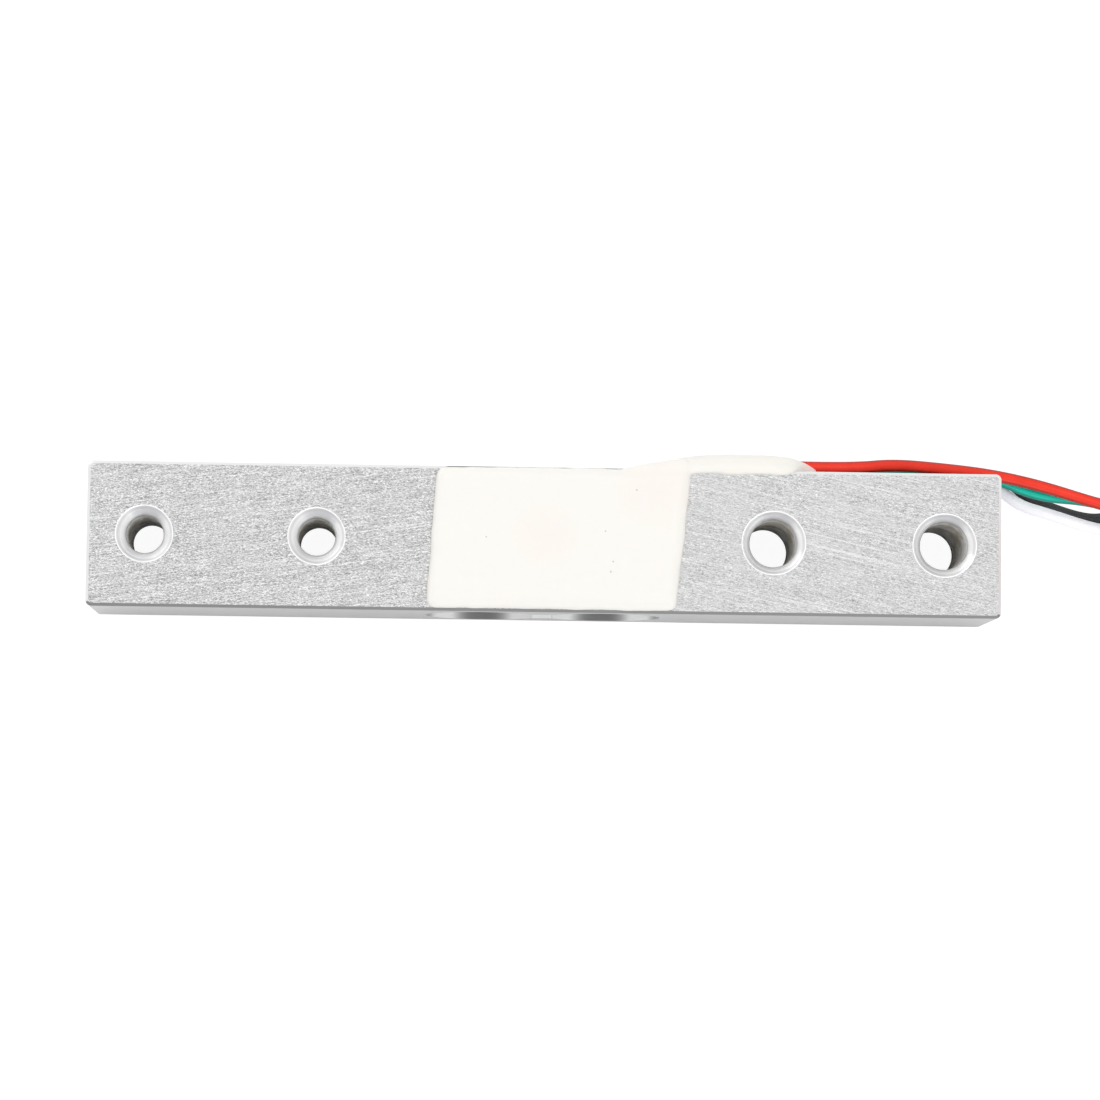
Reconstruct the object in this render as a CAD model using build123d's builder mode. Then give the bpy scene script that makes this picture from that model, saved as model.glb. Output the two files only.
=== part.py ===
from build123d import *
from math import pi, radians, tan
import os

# Strain gauge load cell: a binocular aluminium bar with its gauges, silicone and four leads.
# Millimetres. X runs along the bar towards the end where the leads leave, Y towards the side
# face that carries them, and Z along the tapped holes. The origin lies under the middle of the
# bar, on the surface that its lower silicone coat rests on.

# Bar
bar_length = 80.0
bar_width = 12.7
bar_height = 12.7
bar_edge_break = 0.25
bar_corner_round = 0.5

# Tapped through holes, drawn at the outer diameter of their thread
end_to_first_hole = 5.0
hole_pitch = 15.0
load_thread = 4.0
load_mouth = 5.1
cable_thread = 5.0
cable_mouth = 5.7
countersink_angle = 90.0

# Binocular cut-out: two bores that leave thin walls above and below, and the waist between them
thin_wall = 1.25
flexure_spacing = 10.6
waist_height = 5.0

# Silicone coats on the two gauge faces. Their ends are cut a little askew.
coat_thickness = 0.8
coat_load_reach = 9.97
coat_load_skew = 0.6
coat_cable_margin = 0.1
coat_cable_skew = 1.0
coat_corner = 0.8
coat_top_round = 0.35

# Foil gauges, one over each thin wall
backing_length = 6.2
backing_width = 3.4
backing_thickness = 0.05
foil_thickness = 0.03
grid_length = 3.2
grid_line = 0.12
grid_gap = 0.1
grid_lines = 8
tab_length = 1.1
tab_width = 0.7

# Terminal strips with three solder pads each
terminal_pitch = 1.4
terminal_inset = 1.95
terminal_to_edge = 0.15
strip_thickness = 0.1
strip_margin = 0.2
pad_length = 1.1
pad_width = 1.5
pad_thickness = 0.03
solder_radius = 0.5
solder_height = 0.42
solder_round = 0.2

# Wires under the silicone
gauge_wire = 0.1
gauge_wire_spacing = 0.4
gauge_wire_clearance = 0.4
gauge_wire_bend = 0.2
jumper_wire = 0.18
conductor_wire = 0.26
wire_bend = 0.2
wire_lift = 0.02
crossing_margin = 0.3
crossing_pitch = 0.45
crossing_run = 0.4
jumper_off_side = 0.15
conductor_off_side = 0.55
landing_offset = 0.28
landing_back = 0.19

# Leads, from the lowest to the highest where they leave the bead
lead_names = ["white", "black", "green", "red"]
lead_diameter = 1.05
lead_off_side = 0.9
lead_stack_pitch = 1.17
lead_stack_rise = 1.4
lead_strip_back = 1.5
conductor_straight = 0.6
lead_straight = 2.9
bend_share = 0.45

# Silicone bead on the side face. A bulge is how far it stands off that face, at its start, its
# middle and its exit. It fills the side up to the bar's upper edge, and falls to the leads at its exit.
bead_cover = 0.55
bead_start_bulge = 1.4
bead_middle_bulge = 1.6
bead_exit_bulge = 1.5
bead_foot = 1.4
bead_over_edge = 0.25
bead_exit_fall = 6.0
bead_length = 11.0
bead_exit_round = 0.9
wrap_bulge = 1.15
wrap_gap = 0.05
wrap_overlap = 0.2
wrap_corner = 1.0
wrap_round = 0.6
tongue_length = 3.3
tongue_start_bulge = 0.25
tongue_end_bulge = 0.95
tongue_round = 0.2

# Put-away length: flat oval turns, one layer for each lead, held by a band
hank_turns = 3
hank_turn_pitch = 1.08
hank_layer_pitch = 1.1
hank_fold_radius = 3.47
hank_run = 16.8
hank_entry_x = 56.6
hank_run_y = 3.8
hank_approach = 3.0
hank_entry = 4.0
last_run_left = 6.0
tinned_length = 5.0
tinned_diameter = 0.6
tinned_clearance = 0.25
tie_thickness = 0.4
tie_width = 3.0
tie_clearance = 0.05

# Places that follow from the sizes
beam_bottom = coat_thickness
beam_top = beam_bottom + bar_height
beam_middle = beam_bottom + bar_height / 2
middle_plane = Plane.XY.offset(beam_middle)
side = bar_width / 2
flexure_radius = bar_height / 2 - thin_wall
gauge_x = flexure_spacing / 2
cut_out_end = gauge_x + flexure_radius
crossings = [cut_out_end + crossing_margin + i * crossing_pitch for i in range(4)]
pad_row_y = side - terminal_inset
last_pad_x = crossings[3] - pad_length / 2 - terminal_to_edge
pad_xs = [last_pad_x - (2 - i) * terminal_pitch for i in range(3)]
pad_top = strip_thickness + pad_thickness
coat_cable_reach = crossings[3] + coat_cable_margin
lead_y = side + lead_off_side
lead_inner_end = crossings[3] + lead_strip_back
stack_middle = beam_middle + lead_stack_rise
stack_reach = (len(lead_names) - 1) * lead_stack_pitch / 2
lead_levels = {
    name: stack_middle - stack_reach + i * lead_stack_pitch for i, name in enumerate(lead_names)
}
bead_end = lead_inner_end + bead_length
first_layer = tie_thickness + tie_clearance + lead_diameter / 2
hank_levels = {name: first_layer + i * hank_layer_pitch for i, name in enumerate(lead_names)}


os.makedirs("parts", exist_ok=True)


def save(part, name):
    part.label = name
    export_step(part, f"parts/{name}.step")


def lower_copy(part):
    """The same piece on the lower face of the bar."""
    with BuildPart() as copy:
        mirror(part, about=middle_plane)
    return copy.part


def save_pair(part, name):
    """Saves a piece of the upper face, and the same piece on the lower face."""
    save(part, f"upper_{name}")
    save(lower_copy(part), f"lower_{name}")


def wire(points, diameter, bend):
    """A round wire along straight runs, with arcs of the radius or radii given between them."""
    with BuildPart() as body:
        with BuildLine():
            path = FilletPolyline(*points, radius=bend)
        with BuildSketch(path ^ 0):
            Circle(diameter / 2)
        sweep()
    return body.part


# Bar with its cut-out and tapped holes
first_hole_x = bar_length / 2 - end_to_first_hole
second_hole_x = first_hole_x - hole_pitch
tapped_holes = [
    (-first_hole_x, load_thread, load_mouth),
    (-second_hole_x, load_thread, load_mouth),
    (second_hole_x, cable_thread, cable_mouth),
    (first_hole_x, cable_thread, cable_mouth),
]

with BuildPart() as beam:
    with BuildSketch(Plane.XY.offset(beam_bottom)):
        Rectangle(bar_length, bar_width)
    extrude(amount=bar_height)
    fillet(beam.edges().filter_by(Axis.Z), bar_corner_round)
    chamfer(beam.edges().filter_by(Axis.Z, reverse=True), bar_edge_break)
    with BuildSketch(Plane.XZ):
        with Locations((-gauge_x, beam_middle), (gauge_x, beam_middle)):
            Circle(flexure_radius)
        with Locations((0, beam_middle)):
            Rectangle(flexure_spacing, waist_height)
    extrude(amount=bar_width, both=True, mode=Mode.SUBTRACT)
    for hole_x, thread, mouth in tapped_holes:
        for face_z, turn in ((beam_top, 0), (beam_bottom, 180)):
            with Locations(Location((hole_x, 0, face_z), (turn, 0, 0))):
                CounterSinkHole(thread / 2, mouth / 2, counter_sink_angle=countersink_angle)
save(beam.part, "beam")


# Gauges: polyimide backing and foil grid
grid_pitch = grid_line + grid_gap
grid_half = (grid_lines - 1) * grid_pitch / 2
tab_x = grid_length / 2 + tab_length / 2
tab_y = grid_half + grid_line / 2 - tab_width / 2
backing_plane = Plane.XY.offset(beam_top)
foil_plane = backing_plane.offset(backing_thickness)


def gauge_backing(x):
    with BuildPart() as backing:
        with BuildSketch(backing_plane):
            with Locations((x, 0)):
                Rectangle(backing_length, backing_width)
        extrude(amount=backing_thickness)
    return backing.part


def gauge_grid(x):
    """Foil folded back and forth along the bar, with its two solder tabs at one end."""
    with BuildPart() as grid:
        with BuildSketch(foil_plane):
            with Locations((x, 0)):
                with GridLocations(grid_length, grid_pitch, 1, grid_lines):
                    Rectangle(grid_length, grid_line)
            for turn in range(grid_lines - 1):
                end = -1 if turn % 2 == 0 else 1
                turn_x = x + end * (grid_length - grid_line) / 2
                turn_y = (turn + 0.5) * grid_pitch - grid_half
                with Locations((turn_x, turn_y)):
                    Rectangle(grid_line, grid_pitch + grid_line)
            with Locations((x + tab_x, tab_y), (x + tab_x, -tab_y)):
                Rectangle(tab_length, tab_width)
        extrude(amount=foil_thickness)
    return grid.part


for end, x in (("load_end", -gauge_x), ("cable_end", gauge_x)):
    save_pair(gauge_backing(x), f"{end}_gauge_backing")
    save_pair(gauge_grid(x), f"{end}_gauge_grid")


# Terminal strips and their pads
strip_length = 2 * terminal_pitch + pad_length + 2 * strip_margin
strip_width = pad_width + 2 * strip_margin

with BuildPart() as strip:
    with BuildSketch(Plane.XY.offset(beam_top)):
        with Locations((pad_xs[1], pad_row_y)):
            Rectangle(strip_length, strip_width)
    extrude(amount=strip_thickness)

with BuildPart() as pads:
    with BuildSketch(Plane.XY.offset(beam_top + strip_thickness)):
        with Locations(*[(x, pad_row_y) for x in pad_xs]):
            Rectangle(pad_length, pad_width)
    extrude(amount=pad_thickness)

save_pair(strip.part, "terminal_strip")
save_pair(pads.part, "terminal_pads")


# Fine wires from the gauge tabs to the pads. The load-end gauge's pair goes round its neighbour.
wire_z = beam_top + pad_top + wire_lift + gauge_wire / 2
near_tab = (gauge_x + tab_x, tab_y)
far_tab = (-gauge_x + tab_x, tab_y)
round_y = backing_width / 2 + gauge_wire_clearance
far_x = far_tab[0] + tab_length / 2 + gauge_wire_clearance
landing_y = pad_row_y - landing_back
gauge_wire_routes = [
    [
        near_tab,
        (pad_xs[0] - landing_offset, tab_y),
        (pad_xs[0] - landing_offset, landing_y),
    ],
    [
        (near_tab[0], -tab_y),
        (pad_xs[1] - landing_offset, -tab_y),
        (pad_xs[1] - landing_offset, landing_y),
    ],
    [
        far_tab,
        (far_x + gauge_wire_spacing, tab_y),
        (far_x + gauge_wire_spacing, -round_y),
        (pad_xs[1] + landing_offset, -round_y),
        (pad_xs[1] + landing_offset, landing_y),
    ],
    [
        (far_tab[0], -tab_y),
        (far_x, -tab_y),
        (far_x, -round_y - gauge_wire_spacing),
        (pad_xs[2], -round_y - gauge_wire_spacing),
        (pad_xs[2], landing_y),
    ],
]

with BuildPart() as gauge_wires:
    for route in gauge_wire_routes:
        add(wire([(x, y, wire_z) for x, y in route], gauge_wire, gauge_wire_bend))
save_pair(gauge_wires.part, "gauge_wires")


# Jumpers down the side face, from a pad of the upper strip to the same pad of the lower strip
def jumper(crossing_x, landing_x):
    reach = bar_height / 2 + pad_top + wire_lift + jumper_wire / 2
    side_y = side + jumper_off_side
    points = [
        (landing_x, pad_row_y, beam_middle + reach),
        (crossing_x, side - crossing_run, beam_middle + reach),
        (crossing_x, side_y, beam_middle + reach),
        (crossing_x, side_y, beam_middle - reach),
        (crossing_x, side - crossing_run, beam_middle - reach),
        (landing_x, pad_row_y, beam_middle - reach),
    ]
    return wire(points, jumper_wire, wire_bend)


negative_jumper = jumper(crossings[0], pad_xs[0] - landing_offset)
positive_jumper = jumper(crossings[3], pad_xs[2] + landing_offset)
save(negative_jumper, "negative_jumper")
save(positive_jumper, "positive_jumper")


# Leads inside the bead, and the stripped conductors that climb to the pads
def conductor(name, crossing_x, landing_x, up):
    level = lead_levels[name]
    run_z = beam_middle + up * (bar_height / 2 + pad_top + wire_lift + conductor_wire / 2)
    side_y = side + conductor_off_side
    points = [
        (lead_inner_end, lead_y, level),
        (lead_inner_end - conductor_straight, lead_y, level),
        (lead_inner_end - 2 * conductor_straight, side_y, level),
        (crossing_x, side_y, level),
        (crossing_x, side_y, run_z),
        (crossing_x, side - crossing_run, run_z),
        (landing_x, pad_row_y, run_z),
    ]
    return wire(points, conductor_wire, wire_bend)


conductors = {
    "red": conductor("red", crossings[2], pad_xs[2] - landing_offset, 1),
    "green": conductor("green", crossings[1], pad_xs[1], 1),
    "black": conductor("black", crossings[1], pad_xs[0] + landing_offset, -1),
    "white": conductor("white", crossings[2], pad_xs[1], -1),
}
potted_leads = {}
for name, level in lead_levels.items():
    with BuildPart() as potted:
        with BuildSketch(Plane.YZ.offset(lead_inner_end)):
            with Locations((lead_y, level)):
                Circle(lead_diameter / 2)
        extrude(amount=bead_length)
    potted_leads[name] = potted.part
    save(potted.part, f"{name}_lead_potted")
    save(conductors[name], f"{name}_lead_conductor")


# Solder joints over the wire ends
def solder_joints(covered, up):
    pad_surface = beam_middle + up * (bar_height / 2 + pad_top)
    with BuildPart() as joints:
        with BuildSketch(Plane.XY.offset(pad_surface)):
            with Locations(*[(x, pad_row_y) for x in pad_xs]):
                Circle(solder_radius)
        extrude(amount=up * solder_height)
        outer = joints.faces().sort_by(Axis.Z)
        outer_faces = outer[-len(pad_xs):] if up > 0 else outer[: len(pad_xs)]
        fillet(outer_faces.edges(), solder_round)
        for piece in covered:
            add(piece, mode=Mode.SUBTRACT)
    return joints.part


jumpers = [negative_jumper, positive_jumper]
upper_covered = [gauge_wires.part, conductors["red"], conductors["green"], *jumpers]
lower_covered = [lower_copy(gauge_wires.part), conductors["black"], conductors["white"], *jumpers]
upper_solder = solder_joints(upper_covered, 1)
lower_solder = solder_joints(lower_covered, -1)
save(upper_solder, "upper_solder_joints")
save(lower_solder, "lower_solder_joints")


# Silicone coats, moulded over the gauges, the terminals and the wires
def silicone_coat(covered):
    """An upper coat, over the pieces given as they lie on the upper face."""
    with BuildPart() as coat:
        with BuildSketch(Plane.XY.offset(beam_top)) as outline:
            with BuildLine():
                Polyline(
                    (-coat_load_reach - coat_load_skew / 2, -side),
                    (coat_cable_reach - coat_cable_skew / 2, -side),
                    (coat_cable_reach + coat_cable_skew / 2, side),
                    (-coat_load_reach + coat_load_skew / 2, side),
                    close=True,
                )
            make_face()
            fillet(outline.vertices(), coat_corner)
        extrude(amount=coat_thickness)
        fillet(coat.faces().sort_by(Axis.Z)[-1].edges(), coat_top_round)
        with BuildSketch(Plane.XY.offset(beam_top)):
            with Locations((-gauge_x, 0), (gauge_x, 0)):
                Rectangle(backing_length, backing_width)
        extrude(amount=backing_thickness + foil_thickness, mode=Mode.SUBTRACT)
        with BuildSketch(Plane.XY.offset(beam_top)):
            with Locations((pad_xs[1], pad_row_y)):
                Rectangle(strip_length, strip_width)
        extrude(amount=pad_top, mode=Mode.SUBTRACT)
        for piece in covered:
            add(piece, mode=Mode.SUBTRACT)
    return coat.part


lower_pieces = [lower_copy(piece) for piece in (lower_solder, *lower_covered)]
save(silicone_coat([upper_solder, *upper_covered]), "upper_silicone_coat")
save(lower_copy(silicone_coat(lower_pieces)), "lower_silicone_coat")


# Silicone bead on the side face
def bead_section(x, bulge, foot, crown, corner):
    """Half of a rounded rectangle standing on the side face, from its foot to its crown."""
    with BuildSketch(Plane.YZ.offset(x)) as section:
        with Locations((side, (foot + crown) / 2)):
            RectangleRounded(2 * bulge, crown - foot, corner)
        split(bisect_by=Plane.YZ.offset(side))
    return section.sketch


def edge_tongue():
    """Silicone along the edge over the thin wall, from the coat to the bead."""
    foot = beam_top - thin_wall + wrap_gap
    crown = beam_top + coat_thickness - wrap_gap
    ends = [
        (cut_out_end - tongue_length, tongue_start_bulge),
        (cut_out_end + wrap_corner, tongue_end_bulge),
    ]
    with BuildPart() as tongue:
        for x, bulge in ends:
            add(bead_section(x, bulge, foot, crown, tongue_round))
        loft()
    return tongue.part


stack_half = stack_reach + lead_diameter / 2 + bead_cover
bead_start = lead_inner_end - conductor_straight
full_foot = stack_middle - stack_half - bead_foot
full_crown = beam_top + bead_over_edge
bead_sections = [
    (bead_start, bead_start_bulge, full_foot, full_crown),
    (bead_end - bead_exit_fall, bead_middle_bulge, full_foot, full_crown),
    (bead_end, bead_exit_bulge, stack_middle - stack_half, stack_middle + stack_half),
]
wrap_start = cut_out_end + wrap_gap
wrap_end = lead_inner_end + wrap_overlap
wrap_height = bar_height + 2 * coat_thickness - 2 * wrap_gap
upper_tongue = edge_tongue()

with BuildPart() as wrap:
    with BuildSketch(Plane.XZ.offset(-side)):
        with Locations(((wrap_start + wrap_end) / 2, beam_middle)):
            RectangleRounded(wrap_end - wrap_start, wrap_height, wrap_corner)
    extrude(amount=-wrap_bulge)
    fillet(wrap.faces().sort_by(Axis.Y)[-1].edges(), wrap_round)

with BuildPart() as bead:
    for x, bulge, foot, crown in bead_sections:
        add(bead_section(x, bulge, foot, crown, bead_exit_round))
    loft()
    add(wrap.part)
    add(upper_tongue)
    add(lower_copy(upper_tongue))
    for piece in (*potted_leads.values(), *conductors.values(), *jumpers):
        add(piece, mode=Mode.SUBTRACT)
save(bead.part, "side_silicone_bead")


# Free leads, from the bead along the side face, round the end of the bar and down to the hank
lead_routes = {
    "red": [
        (31.3, 7.75, 9.04),
        (35.8, 7.6, 7.14),
        (40.3, 7.35, 5.42),
        (44.8, 6.25, 4.58),
        (49.4, 5.05, 4.36),
    ],
    "green": [
        (31.3, 7.05, 7.86),
        (35.8, 6.95, 5.96),
        (40.3, 7.0, 4.25),
        (44.8, 5.55, 3.46),
        (49.4, 4.9, 3.24),
    ],
    "black": [
        (31.3, 6.97, 6.68),
        (35.8, 6.93, 4.78),
        (40.8, 7.03, 3.0),
        (44.8, 4.75, 2.33),
        (49.4, 3.7, 2.12),
    ],
    "white": [
        (31.3, 6.95, 5.5),
        (35.8, 6.93, 3.6),
        (40.9, 7.04, 1.85),
        (44.8, 4.3, 1.2),
        (49.4, 3.2, 1.0),
    ],
}


def lead_points(name):
    """The corners of a free lead, from the bead to its layer of the hank."""
    exit_level = lead_levels[name]
    layer_level = hank_levels[name]
    return [
        (bead_end, lead_y, exit_level),
        (bead_end + lead_straight, lead_y, exit_level),
        *lead_routes[name],
        (hank_entry_x - hank_approach, hank_run_y, layer_level),
        (hank_entry_x, hank_run_y, layer_level),
    ]


def bend_radii(points):
    """At each corner, the largest arc that its two runs leave room for."""
    spots = [Vector(*point) for point in points]
    runs = [b - a for a, b in zip(spots, spots[1:])]
    radii = []
    for before, after in zip(runs, runs[1:]):
        half_turn = radians(before.get_angle(after)) / 2
        radii.append(bend_share * min(before.length, after.length) / tan(half_turn))
    return radii


for name in lead_names:
    points = lead_points(name)
    radii = bend_radii(points)
    free_lead = wire(points, lead_diameter, radii)
    save(free_lead, f"{name}_lead")
    length = free_lead.volume / (pi * (lead_diameter / 2) ** 2)
    print(name, "lead", round(length, 2), "mm, bend radii", [round(radius, 1) for radius in radii])


# Put-away length: one flat layer of oval turns for each lead
fold_outer = hank_fold_radius + (hank_turns - 1) * hank_turn_pitch
hank_x = hank_entry_x + hank_entry + hank_run / 2
hank_y = hank_run_y - fold_outer
outer_radius = fold_outer + lead_diameter / 2
inner_radius = hank_fold_radius - lead_diameter / 2
insulation_end_x = hank_x - hank_run / 2 + last_run_left
pocket_length = tinned_length + tinned_clearance
pocket_width = tinned_diameter + 2 * tinned_clearance


def hank_layer(level):
    with BuildPart() as layer:
        with BuildSketch(Plane.XY.offset(level - lead_diameter / 2)):
            with Locations((hank_x, hank_y)):
                SlotCenterToCenter(hank_run, 2 * outer_radius)
                SlotCenterToCenter(hank_run, 2 * inner_radius, mode=Mode.SUBTRACT)
            with Locations((hank_entry_x + hank_entry / 2, hank_run_y)):
                Rectangle(hank_entry, lead_diameter)
            with Locations((insulation_end_x - pocket_length / 2, hank_y - inner_radius)):
                Rectangle(pocket_length, 2 * pocket_width, mode=Mode.SUBTRACT)
        extrude(amount=lead_diameter)
    return layer.part


def tinned_end(level):
    with BuildPart() as tip:
        with BuildSketch(Plane.YZ.offset(insulation_end_x)):
            with Locations((hank_y - hank_fold_radius, level)):
                Circle(tinned_diameter / 2)
        extrude(amount=-tinned_length)
    return tip.part


for name, level in hank_levels.items():
    save(hank_layer(level), f"{name}_lead_hank")
    save(tinned_end(level), f"{name}_lead_tinned_end")

hank_top = max(hank_levels.values()) + lead_diameter / 2 + tie_clearance
hank_bottom = tie_thickness
tie_inner_width = 2 * (outer_radius + tie_clearance)
with BuildPart() as tie:
    with BuildSketch(Plane.YZ.offset(hank_x - tie_width / 2)):
        with Locations((hank_y, (hank_top + hank_bottom) / 2)):
            Rectangle(tie_inner_width + 2 * tie_thickness, hank_top - hank_bottom + 2 * tie_thickness)
            Rectangle(tie_inner_width, hank_top - hank_bottom, mode=Mode.SUBTRACT)
    extrude(amount=tie_width)
save(tie.part, "hank_tie")
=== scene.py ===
"""Finishes, silicone, threads and leads of a bar load cell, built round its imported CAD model."""

import math

import bmesh
import bpy
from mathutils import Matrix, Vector, noise


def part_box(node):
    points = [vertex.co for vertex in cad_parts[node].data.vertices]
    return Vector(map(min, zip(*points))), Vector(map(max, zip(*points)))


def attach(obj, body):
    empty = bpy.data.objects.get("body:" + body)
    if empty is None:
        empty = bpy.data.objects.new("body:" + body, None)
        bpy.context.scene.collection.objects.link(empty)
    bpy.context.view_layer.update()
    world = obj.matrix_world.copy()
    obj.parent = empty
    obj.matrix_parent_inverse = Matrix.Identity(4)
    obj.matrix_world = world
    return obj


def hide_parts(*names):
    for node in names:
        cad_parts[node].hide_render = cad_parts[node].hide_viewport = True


bl_info = {
    "name": "Strain Gauge Load Cell",
    "version": (1, 0, 0),
    "blender": (4, 5, 0),
    "location": "3D View > Sidebar > Load Cell",
    "description": "Dresses the packed load cell with its finishes, silicone, threads and leads",
    "category": "Add Mesh",
}

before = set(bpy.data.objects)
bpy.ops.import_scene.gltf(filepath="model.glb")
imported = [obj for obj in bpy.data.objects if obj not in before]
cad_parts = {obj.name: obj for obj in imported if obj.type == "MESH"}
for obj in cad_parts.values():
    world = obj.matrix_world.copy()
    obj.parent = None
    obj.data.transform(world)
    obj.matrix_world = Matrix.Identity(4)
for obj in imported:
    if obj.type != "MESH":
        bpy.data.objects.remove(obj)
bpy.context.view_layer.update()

MM = 0.001
BODY = "root"

# Places that the CAD gives, in millimetres
bar_low, bar_high = (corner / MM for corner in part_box("beam"))
bar_middle = (bar_low.z + bar_high.z) / 2
bar_half = (bar_high.z - bar_low.z) / 2
side = bar_high.y


# Shader maths


class Signal:
    """One output of a material's nodes. Python arithmetic on it adds the Math nodes it needs."""

    def __init__(self, finish, socket):
        self.finish = finish
        self.socket = socket

    def math(self, operation, first, second):
        return self.finish.node("ShaderNodeMath", {"operation": operation}, {0: first, 1: second})

    def __add__(self, other):
        return self.math("ADD", self, other)

    __radd__ = __add__

    def __sub__(self, other):
        return self.math("SUBTRACT", self, other)

    def __rsub__(self, other):
        return self.math("SUBTRACT", other, self)

    def __mul__(self, other):
        return self.math("MULTIPLY", self, other)

    __rmul__ = __mul__

    def __truediv__(self, other):
        return self.math("DIVIDE", self, other)

    def __pow__(self, other):
        return self.math("POWER", self, other)


class Finish:
    """A procedural material in the making."""

    def __init__(self, name):
        self.material = bpy.data.materials.new(name)
        self.material.use_nodes = True
        self.tree = self.material.node_tree
        self.tree.nodes.clear()

    def node(self, kind, settings=None, sockets=None, output=0):
        """Adds a node: its settings first, then the values or links of its sockets."""
        made = self.tree.nodes.new(kind)
        for name, value in (settings or {}).items():
            setattr(made, name, value)
        for name, value in (sockets or {}).items():
            if isinstance(value, Signal):
                self.tree.links.new(value.socket, made.inputs[name])
            else:
                made.inputs[name].default_value = value
        return Signal(self, made.outputs[output])

    def place(self):
        return self.node("ShaderNodeTexCoord", output="Object")

    def axis(self, vector, name):
        return self.node("ShaderNodeSeparateXYZ", sockets={"Vector": vector}, output=name)

    def absolute(self, signal):
        return self.node("ShaderNodeMath", {"operation": "ABSOLUTE"}, {0: signal})

    def facing(self, name):
        """How squarely the surface faces along an axis, from -1 to 1."""
        return self.axis(self.node("ShaderNodeTexCoord", output="Normal"), name)

    def streaks(self, length, width, angle=0.0, height=1.0):
        """Coordinates stretched along a direction, so that noise on them runs in streaks."""
        sockets = {
            "Vector": self.place(),
            "Rotation": (0.0, 0.0, math.radians(angle)),
            "Scale": (length * MM, width * MM, height * MM),
        }
        return self.node("ShaderNodeMapping", {"vector_type": "TEXTURE"}, sockets)

    def noise(self, vector, scale=1.0, detail=2.0, roughness=0.5):
        sockets = {"Vector": vector, "Scale": scale, "Detail": detail, "Roughness": roughness}
        return self.node("ShaderNodeTexNoise", sockets=sockets)

    def grain(self, size, detail=2.0, roughness=0.5):
        """Even noise whose blotches are about the given number of millimetres wide."""
        return self.noise(self.place(), 1 / (size * MM), detail, roughness)

    def rise(self, signal, low, high):
        """0 below low, 1 above high, and smooth between them."""
        settings = {"interpolation_type": "SMOOTHSTEP"}
        sockets = {"Value": signal, "From Min": low, "From Max": high}
        return self.node("ShaderNodeMapRange", settings, sockets)

    def rise_over(self, signal, stretch):
        """0 before a stretch in millimetres, 1 past it, and smooth between its ends."""
        low, high = stretch
        return self.rise(signal, low * MM, high * MM)

    def tint(self, share, first, second):
        """A colour that goes from the first to the second as share goes from 0 to 1."""
        settings = {"data_type": "RGBA"}
        colours = [c if isinstance(c, Signal) else (*c, 1.0) for c in (first, second)]
        sockets = {0: share, 6: colours[0], 7: colours[1]}
        return self.node("ShaderNodeMix", settings, sockets, output=2)

    def relief(self, height, depth, strength=1.0):
        """A Bump normal of the given depth in millimetres."""
        sockets = {"Strength": strength, "Distance": depth * MM, "Height": height}
        return self.node("ShaderNodeBump", sockets=sockets)

    def surface(self, **sockets):
        """Ends the material in a Principled shader. Keywords are its socket names."""
        named = {name.replace("_", " "): value for name, value in sockets.items()}
        shader = self.node("ShaderNodeBsdfPrincipled", sockets=named)
        end = self.tree.nodes.new("ShaderNodeOutputMaterial")
        self.tree.links.new(shader.socket, end.inputs["Surface"])
        return self.material


def shade(colour, factor):
    """A colour made darker or brighter, up to full."""
    return tuple(min(1.0, part * factor) for part in colour)


# Mesh helpers


# A quarter turn at a corner: its points, and the degrees from one to the next
CORNER_POINTS = 7
CORNER_STEP = 15


def metres(points):
    return [tuple(value * MM for value in point) for point in points]


def add_piece(name, data, material):
    """Puts a mesh or a curve in the scene as a piece of one material."""
    data.materials.append(material)
    piece = bpy.data.objects.new(name, data)
    bpy.context.scene.collection.objects.link(piece)
    return piece


def round_curve(name, diameter, roundness):
    """An empty curve whose lines are swept as rounds with closed ends."""
    curve = bpy.data.curves.new(name, "CURVE")
    curve.dimensions = "3D"
    curve.bevel_depth = diameter / 2 * MM
    curve.bevel_resolution = roundness
    curve.use_fill_caps = True
    return curve


def mesh_piece(name, vertices, faces, material, smooth=True):
    """A mesh object from points in millimetres."""
    mesh = bpy.data.meshes.new(name)
    mesh.from_pydata(metres(vertices), [], faces)
    mesh.validate()
    mesh.update()
    tidy = bmesh.new()
    tidy.from_mesh(mesh)
    bmesh.ops.remove_doubles(tidy, verts=tidy.verts, dist=1e-7)
    bmesh.ops.recalc_face_normals(tidy, faces=tidy.faces)
    tidy.to_mesh(mesh)
    tidy.free()
    mesh.polygons.foreach_set("use_smooth", [smooth] * len(mesh.polygons))
    return add_piece(name, mesh, material)


def rings_to_faces(count, ring, closed_along=False):
    """Quads between neighbouring rings of points, numbered ring after ring."""
    faces = []
    last = count if closed_along else count - 1
    for row in range(last):
        for i in range(ring):
            after = (i + 1) % ring
            below = (row + 1) % count
            upper, lower = row * ring, below * ring
            faces.append((upper + i, upper + after, lower + after, lower + i))
    return faces


def capped_rings(rings):
    """Points and faces of a solid skinned over rings of points, with a cap at each end."""
    ring = len(rings[0])
    points = [point for one in rings for point in one]
    faces = rings_to_faces(len(rings), ring)
    faces.append(tuple(range(ring - 1, -1, -1)))
    faces.append(tuple(range(len(points) - ring, len(points))))
    return points, faces


def settle(piece, slot, *nodes):
    """Puts a finished piece on the bar and hides the CAD nodes it stands for. Its slot is not used.
    """
    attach(piece, BODY)
    if nodes:
        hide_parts(*nodes)
    return piece


def dress(node, material):
    """Gives a CAD node a finish."""
    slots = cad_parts[node].data.materials
    slots.clear()
    slots.append(material)


# Camera


LENS = 140.46
CAMERA_PLACE = (-11.40, -29.81, 387.14)
CAMERA_TURN = (4.4225, -1.8033, 0.8604)


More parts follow.
